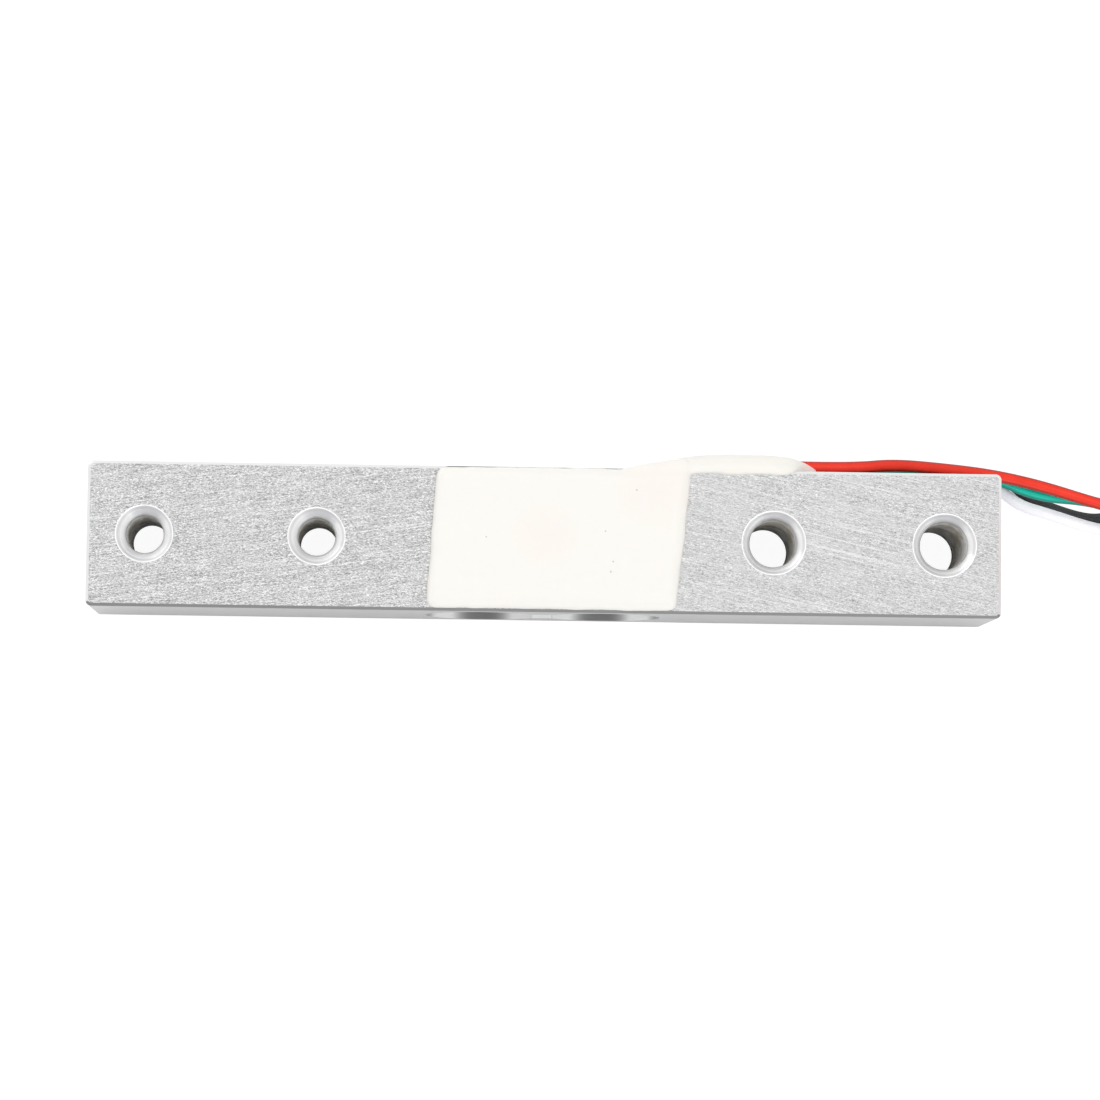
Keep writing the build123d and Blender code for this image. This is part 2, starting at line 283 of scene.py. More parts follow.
class LOADCELL_OT_camera(bpy.types.Operator):
    """Sets up the camera above the bar"""

    bl_idname = "load_cell.camera"
    bl_label = "Camera"

    def execute(self, context):
        data = bpy.data.cameras.new("camera")
        data.lens = LENS
        data.clip_start = 0.01
        data.clip_end = 20.0
        camera = bpy.data.objects.new("camera", data)
        context.scene.collection.objects.link(camera)
        camera.location = [value * MM for value in CAMERA_PLACE]
        camera.rotation_mode = "ZYX"
        camera.rotation_euler = [math.radians(angle) for angle in CAMERA_TURN]
        context.scene.camera = camera
        return {"FINISHED"}


# Leads


# The CAD's route, in millimetres: the stretch inside the bead, then the put-away turns
BEAD_END = 24.55
LEAD_Y = 7.25
LEAD_STRAIGHT = 2.9
LEAD_INNER_END = 13.55
LEAD_SUNK_X = 20.5
LEAD_SUNK_Y = 7.0
HANK_ENTRY_X = 56.6
HANK_APPROACH = 3.0
HANK_RUN_Y = 3.8
HANK_RUN_START = 60.6
HANK_RUN_END = 77.4
HANK_TURNS = 3
HANK_OUTER_RADIUS = 5.63
HANK_RADIUS_STEP = 0.54
INSULATION_END = 66.6
FOLD_STEP = 30.0

# How finely a lead is drawn along and round it, and how brightly the white one glows, a painted
# glow
LEAD_STEPS = 8
LEAD_ROUNDNESS = 4
WHITE_PAINTED_GLOW = 0.17

# Each lead: the height where it leaves the bead, the height of its layer of the hank, and the
# corners of its route between them
LEADS = {
    "red": (
        10.305,
        4.275,
        [
            (31.0, 7.5, 9.04), (35.8, 7.35, 7.14), (40.3, 7.05, 5.42), (44.8, 6.2, 4.6),
            (49.4, 4.85, 4.36),
        ],
    ),
    "green": (
        9.135,
        3.175,
        [
            (31.3, 7.05, 7.86), (35.8, 6.95, 5.96), (40.4, 7.03, 4.25), (44.6, 5.35, 3.46),
            (49.4, 5.15, 3.24),
        ],
    ),
    "black": (
        7.965,
        2.075,
        [
            (31.3, 6.97, 6.68), (35.8, 6.93, 4.78), (41.4, 7.4, 2.78), (43.8, 5.52, 1.41),
            (45.88, 4.62, 0.69), (49.78, 3.45, 0.73), (51.94, 3.84, 1.94),
        ],
    ),
    "white": (
        6.795,
        0.975,
        [
            (31.3, 6.95, 5.5), (35.8, 6.93, 3.6), (40.21, 7.31, 1.65), (42.83, 4.75, 1.8),
            (45.82, 3.85, 2.38), (49.88, 2.63, 2.09), (51.83, 2.59, 1.17),
        ],
    ),
}


def fold_points(centre_x, centre_y, radius, way, level):
    """Control points of a half turn that bulges one way along the bar, 1 or -1, and of its ends."""
    half_step = math.radians(FOLD_STEP / 2)
    reach = radius / math.cos(half_step)
    points = []
    for i in range(-1, round(180 / FOLD_STEP) + 1):
        angle = half_step * (2 * i + 1)
        across, along = reach * math.sin(angle), reach * math.cos(angle)
        points.append((centre_x + way * across, centre_y + way * along, level))
    return points


def hank_points(level):
    """Control points of the put-away turns, from the outermost inwards."""
    points = []
    y = HANK_RUN_Y
    radius = HANK_OUTER_RADIUS
    for turn in range(HANK_TURNS):
        points += fold_points(HANK_RUN_END, y - radius, radius, 1, level)
        y -= 2 * radius
        radius -= HANK_RADIUS_STEP
        if turn < HANK_TURNS - 1:
            points += fold_points(HANK_RUN_START, y + radius, radius, -1, level)
            y += 2 * radius
            radius -= HANK_RADIUS_STEP
    points.append((INSULATION_END, y, level))
    return points


def lead_points(name):
    """Control points of a lead from its potted end to the end of its insulation."""
    exit_level, layer_level, route = LEADS[name]
    return [
        (LEAD_INNER_END, LEAD_Y, exit_level),
        (LEAD_SUNK_X - LEAD_STRAIGHT, LEAD_Y, exit_level),
        (LEAD_SUNK_X, LEAD_SUNK_Y, exit_level),
        (BEAD_END + LEAD_STRAIGHT, LEAD_SUNK_Y, exit_level),
        *route,
        (HANK_ENTRY_X - HANK_APPROACH, HANK_RUN_Y, layer_level),
        (HANK_ENTRY_X, HANK_RUN_Y, layer_level),
        *hank_points(layer_level),
    ]


def insulation(name, colour, glow):
    """Soft rubber insulation: faint blotches, drag lines, and painted shade on its flanks below the
    crown.
    """
    finish = Finish(name)
    # Painted shade: the flanks darken and the crown stays bright, as if lit from above; not on the
    # glowing white lead
    crown = finish.rise(finish.facing("Z"), 0.4, 1.0)
    blotches = finish.grain(1.6, 3.0)
    specks = finish.grain(0.12, 2.0)
    share = finish.rise(blotches * 0.7 + specks * 0.3, 0.3, 0.7)
    lines = finish.noise(finish.streaks(6.0, 0.12, 0.0, 0.12), 1.0, 2.0)
    flank = 1.0 if glow else 0.42
    lit = finish.tint(share, shade(colour, 0.95), shade(colour, 1.15))
    return finish.surface(
        Base_Color=finish.tint(crown, shade(colour, flank), lit),
        Roughness=0.26 + 0.12 * specks,
        Specular_IOR_Level=0.28,
        # A painted glow, on the white lead only
        Emission_Color=(*colour, 1.0),
        Emission_Strength=glow,
        Normal=finish.relief(lines + 0.4 * specks, 0.02, 0.25),
    )


def tube(name, points, diameter, material):
    """A cord on one smooth NURBS line."""
    curve = round_curve(name, diameter, LEAD_ROUNDNESS)
    curve.resolution_u = LEAD_STEPS
    spline = curve.splines.new("NURBS")
    spline.points.add(len(points) - 1)
    for spot, point in zip(spline.points, metres(points)):
        spot.co = (*point, 1.0)
    spline.order_u = 3
    spline.use_endpoint_u = True
    return add_piece(name, curve, material)


class LoadCellLeads(bpy.types.PropertyGroup):
    diameter: bpy.props.FloatProperty(
        name="Lead diameter", description="Over the insulation", default=1.05 * MM, min=0.0005,
        max=0.003, subtype="DISTANCE", unit="LENGTH", precision=5,
    )
    red: bpy.props.FloatVectorProperty(
        name="Supply plus", description="Colour of the red lead", default=(0.93, 0.04, 0.018),
        size=3, min=0.0, max=1.0, subtype="COLOR",
    )
    green: bpy.props.FloatVectorProperty(
        name="Signal plus", description="Colour of the green lead", default=(0.0, 0.6, 0.45),
        size=3, min=0.0, max=1.0, subtype="COLOR",
    )
    black: bpy.props.FloatVectorProperty(
        name="Supply minus", description="Colour of the black lead", default=(0.055, 0.056, 0.056),
        size=3, min=0.0, max=1.0, subtype="COLOR",
    )
    white: bpy.props.FloatVectorProperty(
        name="Signal minus", description="Colour of the white lead", default=(0.94, 0.93, 1.0),
        size=3, min=0.0, max=1.0, subtype="COLOR",
    )


class LOADCELL_OT_leads(bpy.types.Operator):
    """Lays the four leads from the bead to their put-away turns"""

    bl_idname = "load_cell.leads"
    bl_label = "Leads"

    def execute(self, context):
        values = context.scene.load_cell_leads
        for name in LEADS:
            glow = WHITE_PAINTED_GLOW if name == "white" else 0.0
            material = insulation(f"{name}_insulation", tuple(getattr(values, name)), glow)
            piece = tube(f"{name}_flex", lead_points(name), values.diameter / MM, material)
            settle(
                piece, f"{name}_insulation",
                f"{name}_lead_potted", f"{name}_lead", f"{name}_lead_hank",
            )
        return {"FINISHED"}


# Stripped ends and the tie


STRANDS = 6
STRAND_DIAMETER = 0.2
STRAND_STEPS = 16
STRAND_ROUNDNESS = 2
TWIST_LENGTH = 4.0
TINNED_LENGTH = 5.0
TIE_X = (67.5, 70.5)
TIE_Y = (-8.435, 4.775)
TIE_Z = (0.0, 5.25)
TIE_THICKNESS = 0.4
TIE_CORNER = 0.9
TIE_EDGE = 0.12
TIE_SAG = 0.35
SAG_STEPS = 12
SAG_FLATNESS = 2.5


def tinned_metal():
    finish = Finish("tinned_strands")
    dull = finish.grain(0.25, 3.0)
    return finish.surface(
        Base_Color=finish.tint(dull, (0.55, 0.54, 0.53), (0.82, 0.82, 0.83)),
        Metallic=1.0,
        Roughness=0.22 + 0.2 * dull,
        Normal=finish.relief(dull, 0.01, 0.4),
    )


def strand_bundle(name, x, y, z, material):
    """A stripped end: strands twisted round a middle one and tinned together."""
    curve = round_curve(name, STRAND_DIAMETER, STRAND_ROUNDNESS)
    for strand in range(STRANDS + 1):
        radius = 0.0 if strand == STRANDS else STRAND_DIAMETER
        start = 2 * math.pi * strand / STRANDS
        spline = curve.splines.new("POLY")
        spline.points.add(STRAND_STEPS)
        for i, spot in enumerate(spline.points):
            along = TINNED_LENGTH * i / STRAND_STEPS
            angle = start + 2 * math.pi * along / TWIST_LENGTH
            point = (x - along, y + radius * math.cos(angle), z + radius * math.sin(angle))
            spot.co = (*metres([point])[0], 1.0)
    return add_piece(name, curve, material)


def tie_plastic():
    finish = Finish("tie_band")
    matt = finish.grain(0.3, 3.0)
    ribs = finish.noise(finish.streaks(0.25, 8.0, 0.0, 8.0), 1.0, 1.0)
    return finish.surface(
        Base_Color=finish.tint(matt, (0.70, 0.70, 0.68), (0.82, 0.82, 0.80)),
        Roughness=0.42 + 0.15 * matt,
        Normal=finish.relief(ribs + 0.3 * matt, 0.05, 0.35),
    )


def band_outline(inset):
    """The band as seen along the bar, with rounded corners and a little sag in its upper run."""
    low_y, high_y = TIE_Y[0] + inset, TIE_Y[1] - inset
    low_z, high_z = TIE_Z[0] + inset, TIE_Z[1] - inset
    corner = TIE_CORNER - inset
    centres = [
        (high_y - corner, high_z - corner, 0),
        (low_y + corner, high_z - corner, 90),
        (low_y + corner, low_z + corner, 180),
        (high_y - corner, low_z + corner, 270),
    ]
    points = []
    for y, z, start in centres:
        for i in range(CORNER_POINTS):
            angle = math.radians(start + CORNER_STEP * i)
            points.append((y + corner * math.cos(angle), z + corner * math.sin(angle)))
        if start == 0:
            run = high_y - low_y - 2 * corner
            points += [
                (high_y - corner - run * i / SAG_STEPS, high_z) for i in range(1, SAG_STEPS)
            ]
    middle = (low_y + high_y) / 2
    reach = (high_y - low_y) / 2 - corner
    sagged = []
    for y, z in points:
        share = max(0.0, 1 - abs((y - middle) / reach) ** SAG_FLATNESS)
        sagged.append((y, z - TIE_SAG * share if z > (low_z + high_z) / 2 else z))
    return sagged


def tie_band(material):
    """A flat closed band with rounded edges."""
    start, end = TIE_X
    profile = [
        (start, TIE_EDGE), (start + TIE_EDGE, 0.0), (end - TIE_EDGE, 0.0), (end, TIE_EDGE),
        (end, TIE_THICKNESS - TIE_EDGE), (end - TIE_EDGE, TIE_THICKNESS),
        (start + TIE_EDGE, TIE_THICKNESS), (start, TIE_THICKNESS - TIE_EDGE),
    ]
    rings = [[(x, y, z) for y, z in band_outline(inset)] for x, inset in profile]
    points = [point for ring in rings for point in ring]
    faces = rings_to_faces(len(rings), len(rings[0]), closed_along=True)
    return mesh_piece("hank_band", points, faces, material)


class LOADCELL_OT_lead_ends(bpy.types.Operator):
    """Adds the stripped ends and the tie, and gives the conductors their tinned metal"""

    bl_idname = "load_cell.lead_ends"
    bl_label = "Lead Ends and Tie"

    def execute(self, context):
        metal = tinned_metal()
        band = settle(tie_band(tie_plastic()), "tie_plastic", "hank_tie")
        for name, (exit_level, layer_level, _) in LEADS.items():
            dress(f"{name}_lead_conductor", metal)
            inner_y = hank_points(layer_level)[-1][1]
            end = strand_bundle(f"{name}_strands", INSULATION_END, inner_y, layer_level, metal)
            settle(end, "tinned_copper", f"{name}_lead_tinned_end")
            metres([(BEAD_END, LEAD_Y, exit_level)])[0]
        return {"FINISHED"}


# Bar


class LoadCellMetal(bpy.types.PropertyGroup):
    colour: bpy.props.FloatVectorProperty(
        name="Aluminium", description="Colour of the bare metal", default=(0.63, 0.631, 0.634),
        size=3, min=0.0, max=1.0, subtype="COLOR",
    )
    grain: bpy.props.FloatProperty(
        name="Grain", description="Width of the specks of the sanded faces", default=0.125 * MM,
        min=0.00002, max=0.002, subtype="DISTANCE", unit="LENGTH", precision=5,
    )
    load_thread: bpy.props.FloatProperty(
        name="Load end thread", description="Least diameter of the smaller threads",
        default=3.24 * MM, min=0.001, max=0.004, subtype="DISTANCE", unit="LENGTH", precision=5,
    )
    cable_thread: bpy.props.FloatProperty(
        name="Cable end thread", description="Least diameter of the larger threads",
        default=4.13 * MM, min=0.001, max=0.005, subtype="DISTANCE", unit="LENGTH", precision=5,
    )


# How far a streak reaches down through the metal, so that a face cuts it cleanly. Then stretches
# along the bar: where the sanding of one half blends into that of the other, and where the rim's
# painted highlight gives way to painted shade beside the coat and comes back
DEEP = 50.0
HALVES_BLEND = (-6.0, 6.0)
COAT_START = (-8.9, -8.5)
COAT_END = (6.8, 7.4)


def across_halves(half, left, right):
    """The left pattern where half is 0, the right one where it is 1, and a blend between them."""
    return left * (1 - half) + right * half


def sanded_aluminium(colour, grain_width):
    """Bar metal: specks and long fine scratches on the gauge faces, drawn lines on the sides."""
    finish = Finish("bar_aluminium")
    place = finish.place()
    x, y, z = (finish.axis(place, name) for name in "XYZ")
    off_middle = finish.absolute(z - bar_middle * MM)
    up = finish.absolute(finish.facing("Z"))
    outside = finish.rise(off_middle, (bar_half - 0.5) * MM, (bar_half - 0.3) * MM)
    gauge_face = finish.rise(up, 0.75, 0.95) * outside

    # Sanding: grain everywhere, and fine lines that rise on one half and fall on the other
    half = finish.rise_over(x, HALVES_BLEND)
    speck = finish.streaks(grain_width * 0.8, grain_width * 0.44, 0.0, 1.0)
    specks = finish.noise(speck, 1.0, 2.0, 0.8)
    left_dash = finish.streaks(grain_width * 2.0, grain_width * 0.36, 5.0, DEEP)
    right_dash = finish.streaks(grain_width * 2.6, grain_width * 0.36, -12.0, DEEP)
    dashes = across_halves(
        half, finish.noise(left_dash, 1.0, 1.0, 0.6), finish.noise(right_dash, 1.0, 1.0, 0.6)
    )
    rising = finish.noise(finish.streaks(2.4, 0.08, 8.0, DEEP), 1.0, 3.0, 0.7)
    falling = finish.noise(finish.streaks(3.0, 0.08, -12.0, DEEP), 1.0, 3.0, 0.7)
    lines = across_halves(half, rising, falling)
    patches = finish.noise(finish.streaks(3.4, 2.2, 0.0, DEEP), 1.0, 3.0, 0.6)
    rough = finish.rise(patches, 0.32, 0.68)
    contrast = (1.6 + 0.55 * rough) * (1 - 0.35 * half)
    level = (0.46 * specks + 0.34 * dashes + 0.2 * lines - 0.5) * contrast
    sparkle = finish.rise(level, 0.02, 0.14)
    pits = 1 - finish.rise(level, -0.14, -0.01)

    # Long fine scratches
    long_rising = finish.noise(finish.streaks(16.0, 0.09, 8.5, DEEP), 1.0, 1.0)
    long_falling = finish.noise(finish.streaks(18.0, 0.08, -13.0, DEEP), 1.0, 1.0)
    scratches = finish.rise(across_halves(half, long_rising, long_falling), 0.57, 0.72) * gauge_face

    # Tones: even grey, brighter in the sparkle, darker in the pits; smooth sides; a painted
    # reflection in the bores; rims with a painted highlight, and painted shade beside the coat
    face = finish.tint(sparkle, colour, (1.0, 1.0, 1.0))
    face = finish.tint(pits, face, shade(colour, 0.45))
    face = finish.tint(scratches * (0.4 + 0.05 * half), face, (0.98, 0.98, 0.98))
    drawn = finish.noise(finish.streaks(30.0, 30.0, 0.0, 0.14), 1.0, 3.0, 0.6)
    flank = finish.tint(drawn, shade(colour, 0.93), shade(colour, 1.15))
    # Painted highlight on the rims that face +Y and the ends, painted shade on the rest and beside
    # the coat
    rim_painted_highlight = finish.rise(finish.facing("Y") + finish.absolute(finish.facing("X")), 0.3, 0.6)
    coat_painted_shadow = finish.rise_over(x, COAT_START) * (1 - finish.rise_over(x, COAT_END))
    rim = finish.tint(rim_painted_highlight * (1 - coat_painted_shadow), shade(colour, 0.5), (0.97, 0.97, 0.97))
    # Painted reflection in the bores: bright flanks, and a dark middle where they face up or down
    bore_painted_dark = finish.rise(up, 0.82, 0.995) * finish.rise(off_middle, 3.0 * MM, 4.5 * MM)
    bore_painted_reflection = finish.tint(bore_painted_dark, (1.0, 1.0, 1.0), shade(colour, 0.35))
    sloping = finish.rise(up, 0.3, 0.6)
    other = finish.tint(sloping, flank, finish.tint(outside, bore_painted_reflection, rim))
    height = gauge_face * (level + 0.12 * scratches) + 0.08 * drawn * (1 - gauge_face)
    return finish.surface(
        Base_Color=finish.tint(gauge_face, other, face),
        Metallic=1 - 0.95 * sloping * (1 - outside),
        Roughness=0.3 + 0.2 * gauge_face,
        Normal=finish.relief(height, 0.05, 0.9),
    )


class LOADCELL_OT_bar(bpy.types.Operator):
    """Gives the bar its sanded aluminium"""

    bl_idname = "load_cell.bar"
    bl_label = "Bar"

    def execute(self, context):
        values = context.scene.load_cell_metal
        dress("beam", sanded_aluminium(tuple(values.colour), values.grain / MM))
        return {"FINISHED"}


# Threads


class Tapping:
    """A tapped hole: its place along the bar, its radii from their diameters, and its pitch."""

    def __init__(self, x, outer, least, mouth, pitch):
        self.x = x
        self.outer = outer / 2
        self.least = least / 2
        self.mouth = mouth / 2
        self.pitch = pitch


# The holes along the bar, and the outer and mouth diameters and the pitch of each end's threads
LOAD_HOLES = {"load_outer_thread": -35.0, "load_inner_thread": -20.0}
LOAD_OUTER = 4.0
LOAD_MOUTH = 5.1
LOAD_PITCH = 0.7
CABLE_HOLES = {"cable_inner_thread": 20.0, "cable_outer_thread": 35.0}
CABLE_OUTER = 5.0
CABLE_MOUTH = 5.7
CABLE_PITCH = 0.8

# Flats of a thread's crest and root, as shares of its pitch
CREST_FLAT = 0.25
ROOT_FLAT = 0.125

# The threaded wall's distance from the plain hole that it lines, the depth over which a thread
# rises in full, the softness of its shoulder, and the rim: its profile, from the hole outwards,
# is in shares of its width and height
SKIN = 0.02
THREAD_START = 0.8
SHOULDER = 0.1
RIM_HEIGHT = 0.03
RIM_WIDTH = 0.1
RIM_PROFILE = [(0.25, 1.0), (0.75, 0.9), (1.1, 0.0)]
THREAD_SEGMENTS = 72
THREAD_ROWS = 180


def groove(phase):
    """Depth share of a thread: 0 on its crest and 1 at its root."""
    beside = abs(phase % 1.0 - 0.5) * 2
    slope = 1 - CREST_FLAT - ROOT_FLAT
    return min(1.0, max(0.0, (1 - CREST_FLAT - beside) / slope))


def wall_radius(tapping, angle, height):
    """Radius of the threaded wall, with countersinks that run into it on a soft shoulder."""
    depth = bar_half - abs(height)
    span = tapping.mouth - RIM_WIDTH - tapping.least
    shoulder = SHOULDER * math.log1p(math.exp((span - depth) / SHOULDER))
    room = max(tapping.outer, tapping.mouth - depth) - SKIN - tapping.least
    phase = height / tapping.pitch - angle / (2 * math.pi)
    started = min(1.0, max(0.0, (depth - span) / THREAD_START))
    thread = (tapping.outer - SKIN - tapping.least) * groove(phase) * started
    return tapping.least + min(room, max(thread, shoulder))


def thread_rings(tapping):
    """Rings of points down the inside of the hole, round its rims and back up behind the wall."""
    angles = [2 * math.pi * i / THREAD_SEGMENTS for i in range(THREAD_SEGMENTS)]

    def ring(radii, height):
        return [(r * math.cos(a), r * math.sin(a), height) for r, a in zip(radii, angles)]

    def even_ring(radius, height):
        return ring([radius] * len(angles), height)

    rings = []
    for row in range(THREAD_ROWS + 1):
        height = bar_half - 2 * bar_half * row / THREAD_ROWS
        rings.append(ring([wall_radius(tapping, a, height) for a in angles], height))
    inner = tapping.mouth - RIM_WIDTH
    for share, lift in RIM_PROFILE:
        rings.append(even_ring(inner + RIM_WIDTH * share, -bar_half - RIM_HEIGHT * lift))
    neck = bar_half - (tapping.mouth - tapping.outer)
    rings.append(even_ring(tapping.outer, -neck))
    rings.append(even_ring(tapping.outer, neck))
    for share, lift in reversed(RIM_PROFILE):
        rings.append(even_ring(inner + RIM_WIDTH * share, bar_half + RIM_HEIGHT * lift))
    return rings


# The turning rings of a countersink: the height of one, and how far across one fades. Then
# heights above the bar's middle: where the threaded wall ends, where a darker line begins and ends
# near the mouth, and where the rim's painted highlight begins
RING_PITCH = 0.16
RING_DRIFT = 6.0
WALL_END = (4.0, 5.1)
LINE_START = (6.1, 6.2)
LINE_END = (6.24, 6.32)
RIM_HIGHLIGHT_START = (6.3, 6.35)


def turned_aluminium():
    """Cut metal of the holes: turning rings on the countersinks, with painted shade on one side and
    a painted highlight on the rim, and a thread with stains and painted bands of sheen.
    """
    finish = Finish("tapped_aluminium")
    place = finish.place()
    x, y, z = (finish.axis(place, name) for name in "XYZ")
    radius = (x * x + y * y) ** 0.5
    height = finish.absolute(z)
    wall = 1 - finish.rise_over(height, WALL_END)
    bands = finish.noise(finish.streaks(3.0, 3.0, 0.0, 1.9), 1.0, 3.0, 0.65)
    blotches = finish.grain(1.2, 3.0, 0.6)
    turning = {"X": height / (RING_PITCH * MM), "Y": x / (RING_DRIFT * MM)}
    rings = finish.noise(finish.node("ShaderNodeCombineXYZ", sockets=turning), 1.0, 2.0, 0.6)
    # Painted shade on one side of each countersink
    far_side_shade = finish.rise((y + 0.25 * x) / radius + 0.5 * blotches, 0.85, 1.3)
    line = finish.rise_over(height, LINE_START) * (1 - finish.rise_over(height, LINE_END))
    cut = finish.tint(finish.rise(rings, 0.4, 0.55), (0.84, 0.84, 0.85), (1.0, 1.0, 1.0))
    cut = finish.tint(0.75 * far_side_shade, cut, (0.5, 0.5, 0.52))
    cut = finish.tint(0.35 * line, cut, (0.5, 0.5, 0.51))
    # The rim is painted white: a painted highlight
    cut = finish.tint(finish.rise_over(height, RIM_HIGHLIGHT_START), cut, (1.0, 1.0, 1.0))
    # Stains on the thread, partly painted sheen: bands and blotches of light and dark
    stain_and_sheen = finish.rise(0.6 * bands + 0.4 * blotches, 0.38, 0.6)
    grey = finish.tint(stain_and_sheen, (0.6, 0.56, 0.47), (1.0, 1.0, 1.0))
    return finish.surface(
        Base_Color=finish.tint(wall, cut, grey),
        Metallic=0.5 - 0.45 * wall,
        Roughness=0.2 + 0.2 * wall,
        Normal=finish.relief((1 - wall) * rings + 0.4 * stain_and_sheen * wall, 0.04, 0.7),
    )


class LOADCELL_OT_threads(bpy.types.Operator):
    """Cuts the threads, with their countersinks and raised rims"""

    bl_idname = "load_cell.threads"
    bl_label = "Threads"

    def execute(self, context):
        values = context.scene.load_cell_metal
        least_load, least_cable = values.load_thread / MM, values.cable_thread / MM
        tappings = {}
        for name, x in LOAD_HOLES.items():
            tappings[name] = Tapping(x, LOAD_OUTER, least_load, LOAD_MOUTH, LOAD_PITCH)
        for name, x in CABLE_HOLES.items():
            tappings[name] = Tapping(x, CABLE_OUTER, least_cable, CABLE_MOUTH, CABLE_PITCH)
        material = turned_aluminium()
        for name, tapping in tappings.items():
            rings = thread_rings(tapping)
            points = [point for ring in rings for point in ring]
            faces = rings_to_faces(len(rings), len(rings[0]), closed_along=True)
            piece = mesh_piece(name, points, faces, material)
            piece.location = (tapping.x * MM, 0.0, bar_middle * MM)
            settle(piece, "bar_aluminium")
        return {"FINISHED"}


# Silicone


class LoadCellSilicone(bpy.types.PropertyGroup):
    colour: bpy.props.FloatVectorProperty(
        name="Silicone", description="Colour of the cured silicone", default=(0.922, 0.901, 0.856),
        size=3, min=0.0, max=1.0, subtype="COLOR",
    )
    cell: bpy.props.FloatProperty(
        name="Detail", description="Size of the cells that the silicone is moulded from",
        default=0.15 * MM, min=0.00005, max=0.001, subtype="DISTANCE", unit="LENGTH", precision=5,
    )
    wave: bpy.props.FloatProperty(
        name="Waves", description="How far the hand-laid surface strays", default=0.1 * MM,
        min=0.0, max=0.001, subtype="DISTANCE", unit="LENGTH", precision=5,
    )


# Corners of the coat's foot, and the inset and height of each ring up to its crown
COAT_CORNERS = [(-10.32, -6.12), (11.62, -6.12), (12.62, 6.3), (-9.62, 6.22)]
COAT_CORNER_RADIUS = 0.75
LEAST_CORNER_RADIUS = 0.2
COAT_STEPS = [(0.0, -0.2), (0.0, 0.25), (0.12, 0.48), (0.3, 0.64), (0.6, 0.75), (1.0, 0.8)]

# How deep the silicone's inside reaches into the bar: its skin, and its rough masses
BOND = 0.03
EMBEDDED = 0.25

# How round a section of the side mass is, from 0 for square to 1 for an ellipse: across its outer
# upper quarter, across the rest, and upright
CROWN_ROUNDNESS = 0.8
FOOT_ROUNDNESS = 0.55
UPRIGHT_ROUNDNESS = 0.6
SECTION_POINTS = 32

# The smoothing of the skin, and its waves: how often each swings in a millimetre, and its share.
# The seed makes them fall alike in every run
SOFTENING = 0.5
SOFTENING_TURNS = 7
WAVES = [(0.33, 0.9), (0.9, 0.35)]
WAVE_SEED = 7

# Sections of the mass on the side face, along the bar: x, bulge, foot, crown and lap over the
# upper edge. The tongue comes from the coat, the wrap joins both coats and the bead holds the leads
TONGUE_SECTIONS = [
    (6.9, 0.05, 12.7, 14.0, 0.5),
    (8.2, 0.32, 12.6, 14.15, 0.6),
    (9.6, 0.62, 12.5, 14.2, 0.6),
    (11.2, 0.85, 12.3, 14.2, 0.6),
    (12.3, 0.95, 12.3, 14.1, 0.6),
]
WRAP_SECTIONS = [
    (9.9, 0.6, 0.1, 14.2, 0.4),
    (11.0, 0.9, 0.1, 14.2, 0.5),
    (12.2, 1.15, 0.1, 14.1, 0.5),
    (13.2, 1.3, 0.15, 13.9, 0.3),
    (14.4, 1.1, 0.5, 13.7, 0.2),
]
BEAD_SECTIONS = [
    (11.6, 1.25, 4.6, 14.0, 0.35),
    (13.2, 1.48, 3.9, 13.95, 0.24),
    (14.6, 1.56, 3.7, 13.95, 0.16),
    (16.3, 1.60, 3.6, 13.95, 0.44),
    (18.0, 1.61, 3.7, 13.9, 0.20),
    (19.3, 1.58, 3.8, 13.9, 0.22),
    (20.4, 1.54, 4.0, 13.85, 0.38),
    (21.2, 1.45, 4.3, 13.7, 0.3),
    (21.9, 1.33, 4.7, 13.3, 0.12),
    (22.5, 1.16, 5.0, 12.6, 0.0),
    (23.0, 1.02, 5.3, 11.9, 0.0),
    (23.5, 0.84, 5.6, 11.4, 0.0),
    (24.0, 0.6, 6.0, 11.0, 0.0),
]


def coat_rings():
    """The coat's outline, drawn in step by step from its foot to its crown."""
    rings = []
    for inset, height in COAT_STEPS:
        ring = []
        radius = max(LEAST_CORNER_RADIUS, COAT_CORNER_RADIUS - inset)
        for (cx, cy), start in zip(COAT_CORNERS, (180, 270, 0, 90)):
            to_x = 1 if cx > 0 else -1
            to_y = 1 if cy > 0 else -1
            middle = (cx - to_x * (inset + radius), cy - to_y * (inset + radius))
            for i in range(CORNER_POINTS):
                angle = math.radians(start + CORNER_STEP * i)
                x, y = middle[0] + radius * math.cos(angle), middle[1] + radius * math.sin(angle)
                ring.append((x, y, height))
        rings.append(ring)
    return rings


def section_ring(section):
    """One cross-section of the side mass: full towards its foot and rounder towards its crown."""
    x, bulge, foot, crown, lap = section
    middle, half = (foot + crown) / 2, (crown - foot) / 2
    ring = []
    for i in range(SECTION_POINTS):
        angle = 2 * math.pi * i / SECTION_POINTS
        out, up = math.cos(angle), math.sin(angle)
        roundness = CROWN_ROUNDNESS if up > 0 and out > 0 else FOOT_ROUNDNESS
        out = math.copysign(abs(out) ** roundness, out)
        up = math.copysign(abs(up) ** UPRIGHT_ROUNDNESS, up)
        reach = bulge if out > 0 else lap + EMBEDDED
        ring.append((x, side + reach * out, middle + half * up))
    return ring


def mirrored(rings):
    """The same rings on the lower face."""
    return [[(x, y, 2 * bar_middle - z) for x, y, z in reversed(ring)] for ring in rings]


